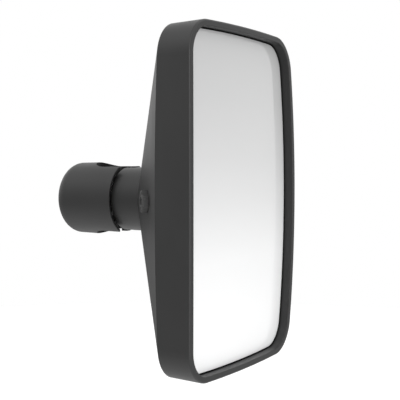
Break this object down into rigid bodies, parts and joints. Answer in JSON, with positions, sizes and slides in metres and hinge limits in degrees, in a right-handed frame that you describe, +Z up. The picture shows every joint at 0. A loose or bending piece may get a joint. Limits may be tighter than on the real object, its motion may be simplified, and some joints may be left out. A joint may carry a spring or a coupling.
{
  "type": "vehicle rear-view mirror head",
  "caption": "Tall convex rear-view mirror head in a black moulded housing, with a tilt and pan friction mount that clamps on a round arm.",
  "frame": {"origin": "middle of the arm socket, on the axis of the mount", "axes": "+Z up, the mirror looks along -Y, +X out of the mouth of the arm socket"},
  "size_m": [0.1996, 0.1946, 0.3002],
  "materials": {
    "housing": "fine-grained black moulding",
    "mirror": "convex silvered glass",
    "seal": "matt extrusion",
    "foam": "closed-cell foam tape",
    "carrier": "moulded",
    "black_steel": "black coated steel",
    "zinc_steel": "zinc plated",
    "cast_alloy": "die cast",
    "bronze": "plain",
    "nylon": "natural nylon"
  },
  "bodies": {
    "arm_clamp": {"pivot_cap": "housing", "set_screws": "black_steel", "screw_inserts": "bronze", "pan_washers": "black_steel", "pan_spring_washer": "black_steel", "pan_bolt": "black_steel", "pan_nut": "black_steel"},
    "link": {"link_core": "cast_alloy", "swivel_collar": "housing", "collar_screws": "black_steel", "tilt_bushings": "bronze", "pan_bushings": "bronze", "tilt_friction_washers": "nylon", "pan_friction_washers": "nylon"},
    "head": {"front_frame": "housing", "back_shell": "housing", "mirror_glass": "mirror", "glass_seal": "seal", "foam_pad": "foam", "carrier_plate": "carrier", "carrier_screws": "zinc_steel", "frame_screws": "black_steel", "support_bracket": "black_steel", "bracket_screws": "zinc_steel", "bracket_nuts": "zinc_steel", "flank_bolts": "black_steel", "flank_washers": "black_steel", "flank_nuts": "zinc_steel", "tilt_bolt": "zinc_steel", "tilt_nut": "zinc_steel", "tilt_washers": "zinc_steel"}
  },
  "joints": [
    {"name": "pan", "type": "hinge", "parent": "arm_clamp", "child": "link", "pos_m": [0, -0.0335, 0], "axis": [0, 0, 1], "range_deg": [-7.5, 7.5]},
    {"name": "tilt", "type": "hinge", "parent": "link", "child": "head", "pos_m": [0, -0.095, 0], "axis": [1, 0, 0], "range_deg": [-8, 8]}
  ]
}
